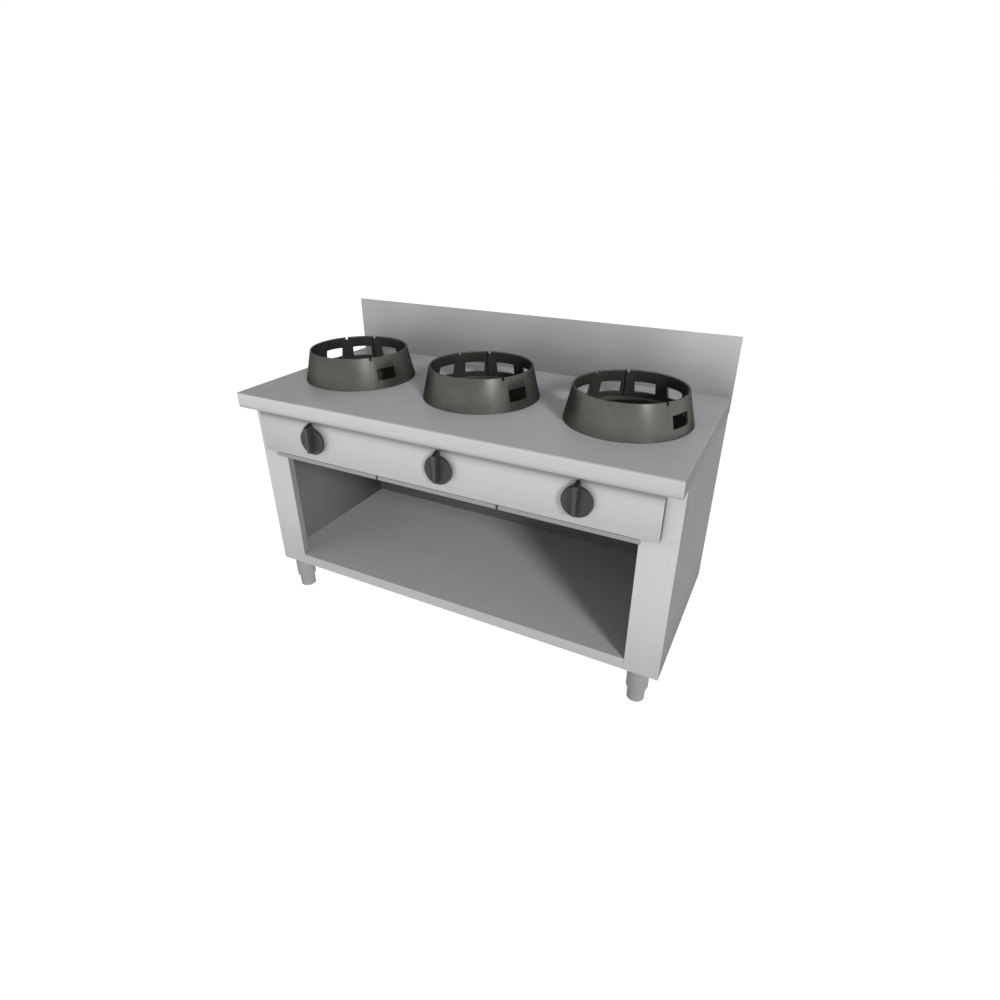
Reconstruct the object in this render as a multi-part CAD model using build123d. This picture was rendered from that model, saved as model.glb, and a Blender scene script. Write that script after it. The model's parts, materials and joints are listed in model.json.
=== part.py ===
from build123d import *
import math
import os

os.makedirs("parts", exist_ok=True)

# Free-standing gas wok range with three burners on an open stand.
# Millimetres. +X to the right, +Y to the back, +Z up.
# Origin: on the floor, in the middle of the footprint.

# ------------------------------------------------------------ driving sizes
W = 1500.0            # overall width
D = 700.0             # overall depth
H = 825.0             # worktop height with the feet screwed fully in
UP = 200.0            # upstand above the worktop
T = 1.5               # sheet thickness
EDGE = 50.0           # turned-down worktop edge
OVERHANG = 70.0       # worktop beyond the front posts
LEG_H = 125.0         # floor to the underside of the cabinet
POST_W = 110.0        # front post face, outer side to opening
POST_D = 25.0         # depth of the post's return
SKIN = 30.0           # outer side to compartment side
SHELF_LIP = 40.0      # front lip of the bottom shelf
BACK_INSET = 30.0     # back panel in front of the back plane
PANEL_HALF = 700.0    # control panel half width
PANEL_PROUD = 30.0    # control panel in front of the posts
PANEL_DROP = 213.0    # worktop top to the bottom of the control panel

BURNER_X = (-500.0, 0.0, 500.0)
BURNER_Y = 5.0
RING_R0, RING_R1, RING_H, RING_T = 195.0, 170.0, 104.0, 6.5
WINDOWS = ((-22.5, 22.0), (30.0, 15.0), (54.0, 22.0), (90.0, 22.0), (126.0, 22.0), (161.5, 22.0))  # angle, width
WIN_Z = (27.0, 66.0)
NOTCH_ANGLES = (144.5, 108.5, -38.5)
SEAM_ANGLE = 111.5
HOLE_R = 164.0        # worktop cut-out under each ring

KNOB_X = (-465.0, 27.0, 470.0)
KNOB_Z = H - 135.0
KNOB_R = 47.0
KNOB_TIP = 64.0
PUSH = 4.0

LEG_X = 682.5
LEG_YF, LEG_YR = -245.0, 315.0
SLEEVE_R = 34.5
FOOT_R = 28.0
FOOT_VIS = 51.0       # sleeve's lower end above the floor
STEM_R = 8.0

NAMES = ("left", "middle", "right")

X1 = W / 2
YF, YB = -D / 2, D / 2
YP = YF + OVERHANG                 # front plane of posts and shelf lip
YC = YP - PANEL_PROUD              # front plane of the control panel
ZB = LEG_H                         # underside of the cabinet
ZS = ZB + SHELF_LIP                # top of the shelf
ZU = H - T                         # underside of the worktop sheet
ZK = ZU - 3.0                      # outer skins stop below the worktop's bend
ZC = H - PANEL_DROP                # bottom of the control panel
XI = X1 - SKIN                     # compartment side
XO = X1 - POST_W                   # edge of the opening
YR = YB - BACK_INSET               # compartment back


# ------------------------------------------------------------ small helpers
def bx(x0, x1, y0, y1, z0, z1):
    return Pos((x0 + x1) / 2, (y0 + y1) / 2, (z0 + z1) / 2) * Box(abs(x1 - x0), abs(y1 - y0), abs(z1 - z0))


def cz(x, y, r, z0, z1):
    return Pos(x, y, (z0 + z1) / 2) * Cylinder(r, z1 - z0)


def cy(x, z, r, y0, y1):
    return Pos(x, (y0 + y1) / 2, z) * Rot(90, 0, 0) * Cylinder(r, y1 - y0)


def cx(y, z, r, x0, x1):
    return Pos((x0 + x1) / 2, y, z) * Rot(0, 90, 0) * Cylinder(r, x1 - x0)


def turned(points):
    # solid of revolution about Z from (radius, height) points
    face = Plane.XZ * make_face(Polyline(*[(r, z) for r, z in points], close=True))
    return revolve(face, Axis.Z)


def turned_y(points):
    # solid of revolution about Y from (radius, y) points
    face = make_face(Polyline(*[(r, y) for r, y in points], close=True))
    return revolve(face, Axis.Y)


def hex_y(x, z, af, y0, y1):
    sk = Plane.XZ * RegularPolygon(af / math.sqrt(3), 6)
    return Pos(x, y1, z) * extrude(sk, y1 - y0)


def hex_z(x, y, af, z0, z1):
    return Pos(x, y, z0) * extrude(RegularPolygon(af / math.sqrt(3), 6), z1 - z0)


def ports(ang, r0, r1, w, z0, z1):
    return Rot(0, 0, ang) * bx(r0, r1, -w / 2, w / 2, z0, z1)


def save(name, *solids):
    out = []
    for s in solids:
        out.extend(s.solids())
    shape = out[0] if len(out) == 1 else Compound(children=out)
    export_step(shape, "parts/%s.step" % name)


def near(edges, fn):
    return [e for e in edges if fn(e.center())]


# ------------------------------------------------------------ worktop
R_BEND = 4.0
outer = bx(-X1, X1, YF, YB - 2 * T, H - EDGE, H)
outer = fillet(near(outer.edges(), lambda c: (c.Z > H - 0.1 and (c.Y < YF + 1 or abs(c.X) > X1 - 1))
                    or (c.Y < YF + 1 and abs(c.X) > X1 - 1)), R_BEND)
inner = bx(-X1 + T, X1 - T, YF + T, YB - 2 * T + 20, H - EDGE - 20, H - T)
inner = fillet(near(inner.edges(), lambda c: (c.Z > ZU - 0.1 and (c.Y < YF + T + 1 or abs(c.X) > X1 - T - 1))
                    or (c.Y < YF + T + 1 and abs(c.X) > X1 - T - 1)), R_BEND - T)
worktop = outer - inner
worktop += bx(-X1 + 12, X1 - 12, YF + T, YF + 17, H - EDGE, H - EDGE + T)
for x in BURNER_X:
    worktop -= cz(x, BURNER_Y, HOLE_R, H - 10, H + 10)
save("worktop", worktop)

# stiffening angles welded under the worktop, clear of the three cut-outs
SY0, SY1 = -190.0, 200.0
stiff = []
for y0, s in ((SY0, 1), (SY1, -1)):
    a = bx(-XI + 2, XI - 2, min(y0, y0 + s * T), max(y0, y0 + s * T), ZU - 30, ZU)
    a += bx(-XI + 2, XI - 2, min(y0, y0 + s * 16), max(y0, y0 + s * 16), ZU - 30, ZU - 30 + T)
    stiff.append(a)
for x in (-250.0, 250.0):
    stiff.append(bx(x, x + T, SY0 + T, SY1 - T, ZU - 28, ZU)
                 + bx(x, x + 16, SY0 + 17, SY1 - 17, ZU - 28, ZU - 28 + T))
save("worktop_stiffeners", *stiff)

# ------------------------------------------------------------ upstand
up = bx(-X1, X1, YB - 2 * T, YB - T, H - EDGE, H + UP)
up += bx(-X1, X1, YB - T, YB, H + UP - 12, H + UP)
for s in (-1, 1):
    up += bx(min(s * (X1 - 12), s * X1), max(s * (X1 - 12), s * X1), YB - T, YB, H - EDGE, H + UP)
up = fillet(near(up.edges(), lambda c: c.Z > H + UP - 0.1 and abs(c.X) < 1), 1.2)
save("splashback", up)

# ------------------------------------------------------------ side skins
for name, s in (("left", -1), ("right", 1)):
    def m(x0, x1, y0, y1, z0, z1, s=s):
        a, b = sorted((s * x0, s * x1))
        return bx(a, b, y0, y1, z0, z1)
    YE = YB - 2 * T
    side = m(X1 - 2 * T, X1 - T, YP + T, YE, ZB, ZK) + m(XI, X1 - 2 * T, YE - T, YE, ZB, ZK)
    save("side_panel_" + name, side)
    save("inner_wall_" + name, m(XI, XI + T, YP + POST_D, YE - T, ZB + 2, ZU))
    post = m(XO, X1 - T, YP, YP + T, ZB, ZK)
    post += m(XO, XO + T, YP + T, YP + POST_D, ZB + 2, ZK)
    post += m(X1 - 3 * T, X1 - 2 * T, YP + T, YP + POST_D, ZB + 2, ZK)
    post += m(XO, XI + T, YP + POST_D - T, YP + POST_D, ZB + 2, ZK)
    post = fillet(near(post.edges(), lambda c: c.Y < YP + 0.1 and abs(abs(c.X) - XO) < 0.1 and 300 < c.Z < 700), 1.2)
    save("front_post_" + name, post)

# base channels that close the side columns and carry the legs
chan = []
BOLT_PCD_R = 20.0
BOLT_A = {LEG_YF: 270.0, LEG_YR: 90.0}
for s in (-1, 1):
    def m(x0, x1, y0, y1, z0, z1, s=s):
        a, b = sorted((s * x0, s * x1))
        return bx(a, b, y0, y1, z0, z1)
    c = m(XO, X1 - 2 * T, YP + T, YB - 4 * T, ZB, ZB + 2)
    c += m(XO, XO + T, YP + POST_D, YR, ZB + 2, ZS - T)
    for ly in (LEG_YF, LEG_YR):
        for k in range(3):
            a = math.radians(BOLT_A[ly] + 120 * k)
            c -= cz(s * LEG_X + BOLT_PCD_R * math.cos(a), ly + BOLT_PCD_R * math.sin(a), 4.3, ZB - 5, ZB + 10)
    chan.append(c)
save("base_channels", *chan)

# ------------------------------------------------------------ back panel
rear = bx(-XI, XI, YR, YR + T, ZB + 2, ZU)
for cxx in (-430.0, 0.0, 430.0):
    for k in range(6):
        z = ZU - 40 - 16 * k
        rear -= bx(cxx - 110, cxx + 110, YR - 5, YR + 8, z - 2.5, z + 2.5)
INLET_X, INLET_Z = 620.0, 640.0
rear -= cy(INLET_X, INLET_Z, 16.0, YR - 5, YR + 8)
save("rear_panel", rear)
scr = []
for x in (-705.0, -235.0, 235.0, 705.0):
    for z in (150.0, 300.0, 560.0):
        scr.append(cy(x, z, 4.5, YR + T, YR + T + 2.4))
save("rear_panel_screws", *scr)

# ------------------------------------------------------------ bottom shelf
shelf = bx(-XI, XI, YP + POST_D, YR, ZS - T, ZS) + bx(-XO, XO, YP, YP + POST_D, ZS - T, ZS)
shelf += bx(-XO, XO, YP, YP + T, ZB, ZS)
shelf += bx(-XO, XO, YP, YP + 18, ZB, ZB + T)
shelf += bx(-XO + 0.5, XO - 0.5, YR - T, YR, ZB + 10, ZS)
shelf = fillet(near(shelf.edges(), lambda c: c.Y < YP + 0.1 and abs(c.X) < 1 and (c.Z > ZS - 0.1 or c.Z < ZB + 0.1)), 1.4)
save("bottom_shelf", shelf)
hats = []
for y in (-110.0, 140.0):
    h = bx(-XO + 2, XO - 2, y, y + T, ZS - 32, ZS - T) + bx(-XO + 2, XO - 2, y + 50, y + 50 + T, ZS - 32, ZS - T)
    h += bx(-XO + 2, XO - 2, y, y + 50 + T, ZS - 32, ZS - 32 + T)
    hats.append(h)
save("shelf_stiffeners", *hats)

# ------------------------------------------------------------ control panel
po = bx(-PANEL_HALF, PANEL_HALF, YC, YP, ZC, ZU)
po = fillet(near(po.edges(), lambda c: c.Y < YC + 0.1 and c.Z < ZU - 1), 2.2)
pi = bx(-PANEL_HALF + T, PANEL_HALF - T, YC + T, YP + 10, ZC + T, ZU - T)
pi = fillet(near(pi.edges(), lambda c: c.Y < YC + T + 0.1 and c.Z < ZU - T - 1), 0.7)
panel = po - pi
panel -= bx(-PANEL_HALF + T, PANEL_HALF - T, YC + 18, YP + 5, ZU - 5, ZU + 5)
panel += bx(-XO + 0.5, XO - 0.5, YP - 1, YP + 18, ZC, ZC + T)
for x in KNOB_X:
    panel -= cy(x, KNOB_Z, 6.0, YC - 5, YC + 8)
save("control_panel", panel)
save("knob_bezels", *[cy(x, KNOB_Z, 30.0, YC - 1.5, YC) - cy(x, KNOB_Z, 8.0, YC - 5, YC + 3) for x in KNOB_X])

# ------------------------------------------------------------ spill trays under the burners
TZ0 = ZC - 15.0                     # lower edge of the tray fronts
TZ1 = ZC - 0.5
SPACE_X = (-219.0, 219.0)
TRAY = {"left": (-652.0, -223.0, -635.0, -227.0), "middle": (-215.0, 215.0, -211.0, 211.0),
        "right": (223.0, 652.0, 227.0, 635.0)}
TRAY_YB = 260.0
for name in NAMES:
    f0, f1, b0, b1 = TRAY[name]
    t = bx(b0, b1, YC + T, TRAY_YB, TZ0, TZ0 + T)
    t += bx(b0, b0 + T, YC + T, TRAY_YB, TZ0, TZ0 + 13) + bx(b1 - T, b1, YC + T, TRAY_YB, TZ0, TZ0 + 13)
    t += bx(b0, b1, TRAY_YB - T, TRAY_YB, TZ0, TZ0 + 13)
    f = bx(f0, f1, YC, YC + T, TZ0, TZ1)
    t += f
    t = fillet(near(t.edges(), lambda c: c.Y < YC + 0.1 and c.Z < TZ0 + 0.1), 1.2)
    save("drip_tray_" + name, t)
rail = []
RZ = TZ0 - 0.1
for s in (-1, 1):
    a, b = sorted((s * XI, s * 618.0))
    r = bx(a, b, YP + POST_D, YR, RZ - T, RZ)
    a, b = sorted((s * XI, s * (XI - T)))
    r += bx(a, b, YP + POST_D, YR, RZ, RZ + 24)
    rail.append(r)
    a = s * 219.0
    rail.append(bx(a - 14, a + 14, YP + 18, YR, RZ - T, RZ) + bx(a - 0.75, a + 0.75, YP + 18, YR, RZ - 0.5, RZ + 26))
save("tray_runners", *rail)
save("tray_front_spacers", *[bx(x - 3.6, x + 3.6, YC, YC + 12, TZ0, ZC) for x in SPACE_X])

# ------------------------------------------------------------ legs and feet
sleeves, bolts = [], []
for s in (-1, 1):
    for ly in (LEG_YF, LEG_YR):
        lx = s * LEG_X
        sl = cz(lx, ly, SLEEVE_R, FOOT_VIS, ZB) - cz(lx, ly, SLEEVE_R - 3, FOOT_VIS + 10, ZB - 5)
        sl -= cz(lx, ly, STEM_R + 0.06, FOOT_VIS - 5, FOOT_VIS + 20)
        for k in range(3):
            a = math.radians(BOLT_A[ly] + 120 * k)
            px, py = lx + BOLT_PCD_R * math.cos(a), ly + BOLT_PCD_R * math.sin(a)
            sl -= cz(px, py, 4.02, ZB - 20, ZB + 5)
            bolts.append(hex_z(px, py, 13.0, ZB + 2, ZB + 7.5) + cz(px, py, 4.0, ZB - 9, ZB + 3))
        sleeves.append(sl)
save("leg_sleeves", *sleeves)
save("leg_bolts", *bolts)
FT = FOOT_VIS - 0.4
for name, s, ly in (("front_left", -1, LEG_YF), ("front_right", 1, LEG_YF), ("rear_left", -1, LEG_YR), ("rear_right", 1, LEG_YR)):
    foot = turned([(0, 0), (25.5, 0), (27.2, 1.2), (FOOT_R, 3.5), (FOOT_R, 34), (FOOT_R - 1.2, 35.2), (FOOT_R - 1.2, 37.8), (FOOT_R, 39),
                   (FOOT_R, FT - 1.5), (FOOT_R - 1.5, FT), (STEM_R, FT), (STEM_R, 111), (STEM_R - 1.5, 112.5), (0, 112.5)])
    save("foot_" + name, Pos(s * LEG_X, ly, 0) * foot)

# ------------------------------------------------------------ wok rings
slope = math.degrees(math.atan2(RING_R0 - RING_R1, RING_H))


def ring():
    k = (RING_R0 - RING_R1) / RING_H
    t = RING_T
    prof = [(RING_R0, 0), (RING_R0 - 4 * k, 4), (RING_R1 + 1.5 * k, RING_H - 1.5), (RING_R1 - 1.2, RING_H),
            (RING_R1 - t + 2.0, RING_H), (RING_R1 - t, RING_H - 3), (RING_R0 - t - 7 * k, 7), (RING_R0 - t - 7, 5.5),
            (RING_R0 - t - 7, 0)]
    r = turned(prof)
    for a, deg in WINDOWS:
        wz = (WIN_Z[0] + WIN_Z[1]) / 2
        rm = RING_R0 - wz * k - t / 2
        c = Box(40, 2 * rm * math.sin(math.radians(deg / 2)), WIN_Z[1] - WIN_Z[0])
        c = fillet(c.edges().filter_by(Axis.X), 2.5)
        r -= Rot(0, 0, a) * Pos(rm, 0, wz) * Rot(0, -slope, 0) * c
    for a in NOTCH_ANGLES:
        r -= Rot(0, 0, a) * bx(RING_R1 - 20, RING_R1 + 20, -4.5, 4.5, RING_H - 10, RING_H + 5)
    g = Rot(0, 0, SEAM_ANGLE) * Pos(RING_R0 - t - k * 56, 0, 56) * Rot(0, -slope, 0) * Box(3.0, 4.5, 92)
    return r - g


RING = ring()
for name, x in zip(NAMES, BURNER_X):
    save("wok_ring_" + name, Pos(x, BURNER_Y, H) * RING)

# ------------------------------------------------------------ burner wells, burners and caps
ZW = H - 40.0                       # floor of the well
ZR0 = H - 92.0                      # burner seat on the bearers
ZTOP = H - 3.0                      # burner rim
VZ = ZR0 + 24.0                     # mixing tube axis
well = turned([(178, H), (163, H), (108, ZW), (79, ZW), (79, ZW + 15), (80.2, ZW + 15), (80.2, ZW + 1.2),
               (107.5, ZW + 1.2), (162.5, H + 1.2), (178, H + 1.2)])
PILOT_A, THERMO_A, PILOT_R = -50.0, -30.0, 92.0


def pol(r, a):
    return r * math.cos(math.radians(a)), r * math.sin(math.radians(a))


px, py = pol(PILOT_R, PILOT_A)
qx, qy = pol(PILOT_R, THERMO_A)
well -= cz(px, py, 8.0, ZW - 5, ZW + 5)
well -= cz(qx, qy, 5.0, ZW - 5, ZW + 5)

body = turned([(0, ZR0), (46, ZR0), (72, ZR0 + 34), (72, ZTOP), (64, ZTOP), (64, ZR0 + 37), (42, ZR0 + 8), (0, ZR0 + 8)])
boss = cy(0, VZ, 21.0, -78, -34)
cav = turned([(0, ZR0 + 8), (42, ZR0 + 8), (64, ZR0 + 37), (64, ZTOP + 5), (0, ZTOP + 5)])
body = body + (boss - cav) - cy(0, VZ, 16.0, -100, -20)
body -= cz(0, 0, 3.0, ZR0 - 5, ZR0 + 20)

cap = turned([(0, ZTOP + 4), (54, ZTOP + 4), (54, ZTOP - 10), (63.3, ZTOP - 10), (63.3, ZTOP), (76, ZTOP), (76, ZTOP + 7),
              (70, ZTOP + 13), (44, ZTOP + 15), (40, ZTOP + 20), (0, ZTOP + 20)])
for k in range(30):
    cap -= ports(k * 12.0, 50.0, 82.0, 3.0, ZTOP + 1.6, ZTOP + 6.4)
for k in range(12):
    cap -= ports(k * 30.0, 30.0, 47.0, 3.0, ZTOP + 8, ZTOP + 17)
cap -= turned([(0, ZTOP + 3), (36, ZTOP + 3), (36, ZTOP + 17), (0, ZTOP + 17)])

bodies = []
for name, x in zip(NAMES, BURNER_X):
    save("burner_well_" + name, Pos(x, BURNER_Y, 0) * well)
    save("burner_cap_" + name, Pos(x, BURNER_Y, 0) * cap)
    bodies.append(Pos(x, BURNER_Y, 0) * body)
save("burner_bodies", *bodies)

bear = []
for y0, s in ((-50.0, 1), (60.0, -1)):
    a, b = sorted((y0, y0 + s * 30))
    c, d = sorted((y0, y0 + s * 3))
    bear.append(bx(-XI, XI, a, b, ZR0 - 3, ZR0) + bx(-XI, XI, c, d, ZR0 - 30, ZR0))
save("burner_bearers", *bear)

# mixing tubes with an air window each side, bell mouth at the front
VY0, VY1 = BURNER_Y - 78.0, -200.0
tube = turned_y([(20, VY0), (16, VY0), (16, VY1 + 12), (21, VY1), (26, VY1), (26, VY1 + 3), (20, VY1 + 13)])
WY0, WY1 = -176.0, -162.0
for s in (-1, 1):
    tube -= bx(min(s * 8, s * 30), max(s * 8, s * 30), WY0, WY1, -9, 9)
save("venturis", *[Pos(x, 0, VZ) * tube for x in BURNER_X])
shut = turned_y([(20.06, -182), (22.6, -182), (22.6, -156), (20.06, -156)])
for s in (-1, 1):
    shut -= bx(min(s * 8, s * 30), max(s * 8, s * 30), WY0, WY1, -9, 9)
shut += bx(-3, 3, -158.5, -156, 22.0, 26.5)
for name, x in zip(NAMES, BURNER_X):
    save("air_shutter_" + name, Pos(x, 0, VZ) * shut)

# injectors and their brackets
inj = hex_y(0, 0, 14.0, -232, -218) + cy(0, 0, 6.0, -218, -212) + cy(0, 0, 3.6, -212, -205)
inj -= cy(0, 0, 2.0, -235, -212)
inj -= cy(0, 0, 0.9, -215, -200)
save("injectors", *[Pos(x, 0, VZ) * inj for x in BURNER_X])
brk = bx(-25, 25, -218, -216, -11, 11) - cy(0, 0, 6.1, -225, -205)
for s in (-1, 1):
    brk += bx(min(s * 23, s * 25), max(s * 23, s * 25), -218, -200, -7, 7)
save("injector_brackets", *[Pos(x, 0, VZ) * brk for x in BURNER_X])

# ------------------------------------------------------------ gas line
MY, MZ, MR = -256.0, 640.0, 13.5
path = FilletPolyline((-560, MY, MZ), (INLET_X, MY, MZ), (INLET_X, 332, MZ), radius=45)
sec = Plane(origin=(-560, MY, MZ), x_dir=(0, 1, 0), z_dir=(1, 0, 0))
pipe = sweep(sec * Circle(MR), path=path)
path2 = FilletPolyline((-556, MY, MZ), (INLET_X, MY, MZ), (INLET_X, 340, MZ), radius=45)
sec2 = Plane(origin=(-556, MY, MZ), x_dir=(0, 1, 0), z_dir=(1, 0, 0))
pipe -= sweep(sec2 * Circle(MR - 2.6), path=path2)
for x in KNOB_X:
    pipe -= cz(x, MY, 3.5, MZ, MZ + 30)
save("gas_manifold", pipe)
fit = hex_y(INLET_X, MZ, 36.0, 324, 350) - cy(INLET_X, MZ, MR + 0.05, 320, 332) - cy(INLET_X, MZ, 12.1, 334, 355)
fit -= cy(INLET_X, MZ, 10.9, 330, 340)
save("gas_inlet_fitting", fit)

# brackets that stand on the panel's inner flange and hold the gas pipe
mb = []
for x in (-540.0, -235.0, 235.0, 585.0):
    b = bx(x - 12, x + 12, YP + 1, YP + 17, ZC + T, ZC + T + 3) + bx(x - 12, x + 12, YP + 14, YP + 17, ZC + T, MZ + 10)
    b += bx(x - 12, x + 12, YP + 14, MY, MZ + 8, MZ + 20)
    b -= cx(MY, MZ, MR + 0.05, x - 30, x + 30)
    mb.append(b)
save("manifold_brackets", *mb)

# taps: barrel with a turning plug, stem through the front
KY0 = YC + T + 3.5                  # front flange of the tap
taps = []
tap = cy(0, 0, 14.0, KY0, -238) + bx(-17, 17, KY0, KY0 + 4, -17, 17)
tap += cz(0, MY, 9.0, MZ - KNOB_Z, -8)
tap += cz(0, MY, 7.0, 8, 22)
tap -= cy(0, 0, 9.0, -292, -246)
tap -= cy(0, 0, STEM_R / 2 + 0.06, KY0 - 5, -285)
tap -= cz(0, MY, 3.5, MZ - KNOB_Z - 5, -4)
tap -= cz(0, MY, 3.0, 4, 30)
tap -= Pos(0, 0, MZ - KNOB_Z) * cx(MY, 0, MR + 0.02, -30, 30)
save("gas_taps", *[Pos(x, 0, KNOB_Z) * tap for x in KNOB_X])
plug = cy(0, 0, 8.94, -268, -247) - cz(0, MY, 3.0, -20, 20)
plug -= bx(-3.1, 3.1, -270, -261, -1.6, 1.6)
stem = cy(0, 0, STEM_R / 2, -340, -273.5) + bx(-3.0, 3.0, -275, -266, -1.5, 1.5)

# knob: round skirt with a tapering grip bar that ends in a pointer
KB = YC - 6.5                       # back face of the knob
knob = cy(0, 0, KNOB_R, KB - 12, KB)
knob = chamfer(near(knob.edges(), lambda c: c.Y < KB - 11.9), 2.0)
bar = make_face(Polyline((-5.9, -36.5), (5.9, -36.5), (8.6, 51), (4.6, KNOB_TIP), (-4.6, KNOB_TIP), (-8.6, 51), close=True))
bar = Pos(0, KB - 3, 0) * extrude(Plane.XZ * bar, 28.0)
slant = make_face(Polyline((KB - 32, 54.1), (KB - 9, KNOB_TIP), (KB - 9, 82), (KB - 32, 82), close=True))
bar -= Pos(-20, 0, 0) * extrude(Plane.YZ * slant, 40.0)
bar = chamfer(near(bar.edges(), lambda c: c.Y < KB - 30.9), 1.6)
knob = knob + bar
knob -= cy(0, 0, STEM_R / 2 + 0.02, -340, KB + 5)
knob -= cy(0, 0, KNOB_R - 4, KB - 3, KB + 5) - cy(0, 0, 9.0, KB - 5, KB + 5)
for name, x in zip(NAMES, KNOB_X):
    save("tap_plug_" + name, Pos(x, 0, KNOB_Z) * plug)
    save("tap_stem_" + name, Pos(x, 0, KNOB_Z) * stem)
    save("knob_" + name, Pos(x, 0, KNOB_Z) * knob)


def pipe_run(points, r, radius):
    p = FilletPolyline(*points, radius=radius)
    a, b = Vector(*points[0]), Vector(*points[1])
    return sweep(Plane(origin=a, z_dir=(b - a)) * Circle(r), path=p)


feeds = []
for xb, xk in zip(BURNER_X, KNOB_X):
    feeds.append(pipe_run([(xk, MY, KNOB_Z + 22), (xk, MY, KNOB_Z + 40), (xb, MY - 4, VZ), (xb, -232, VZ)], 3.6, 9))
for xb, xk in zip(BURNER_X, KNOB_X):
    ax, ay = xb + px, BURNER_Y + py
    feeds.append(pipe_run([(ax, ay, 768), (ax, ay, KNOB_Z + 5), (ax, ay - 70, KNOB_Z + 5), (xk + 6, -200, KNOB_Z + 5),
                           (xk + 6, -238, KNOB_Z + 5)], 2.0, 11))
save("gas_feed_tubes", *feeds)

pilots, thermos = [], []
for xb in BURNER_X:
    ax, ay = xb + px, BURNER_Y + py
    p = cz(ax, ay, 5.5, 768, H + 8) + cz(ax, ay, 7.0, H + 8, H + 15)
    arm = Rot(0, 0, (PILOT_A + THERMO_A) / 2) * bx(68, 100, -20, 20, 771, 773.5)
    p += Pos(xb, BURNER_Y, 0) * (arm - cz(0, 0, 72.05, 760, 790))
    p -= cz(ax, ay, 1.6, 760, H + 10)
    p -= bx(ax - 20, ax + 20, ay - 2, ay + 2, H + 9.5, H + 12)
    p -= cz(xb + qx, BURNER_Y + qy, 3.05, 760, 790)
    pilots.append(p)
    thermos.append(cz(xb + qx, BURNER_Y + qy, 3.0, 758, H + 12) + cz(xb + qx, BURNER_Y + qy, 5.0, 758, 770.9))
save("pilot_burners", *pilots)
save("thermocouples", *thermos)
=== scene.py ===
import bpy
import bmesh
import json
import math
from mathutils import Matrix, Vector


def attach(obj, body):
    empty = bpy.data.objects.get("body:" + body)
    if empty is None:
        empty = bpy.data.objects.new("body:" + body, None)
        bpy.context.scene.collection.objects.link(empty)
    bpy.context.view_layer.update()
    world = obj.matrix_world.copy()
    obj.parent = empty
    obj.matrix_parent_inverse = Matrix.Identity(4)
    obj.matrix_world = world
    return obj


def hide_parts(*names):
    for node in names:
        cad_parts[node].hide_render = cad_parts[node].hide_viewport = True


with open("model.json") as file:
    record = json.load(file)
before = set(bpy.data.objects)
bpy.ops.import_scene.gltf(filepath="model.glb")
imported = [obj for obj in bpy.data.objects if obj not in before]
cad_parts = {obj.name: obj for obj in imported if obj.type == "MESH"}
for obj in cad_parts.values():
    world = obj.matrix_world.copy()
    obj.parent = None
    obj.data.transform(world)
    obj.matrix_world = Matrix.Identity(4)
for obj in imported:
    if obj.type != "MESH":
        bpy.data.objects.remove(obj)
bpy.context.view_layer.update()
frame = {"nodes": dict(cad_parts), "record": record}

MM = 0.001
H = 825.0
BURNER_X = {"left": -500.0, "middle": 0.0, "right": 500.0}
BURNER_Y = 5.0
KNOB_X = {"left": -465.0, "middle": 27.0, "right": 470.0}
KNOB_Z = 690.0
NAMES = ("left", "middle", "right")
DONE = set()


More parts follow.
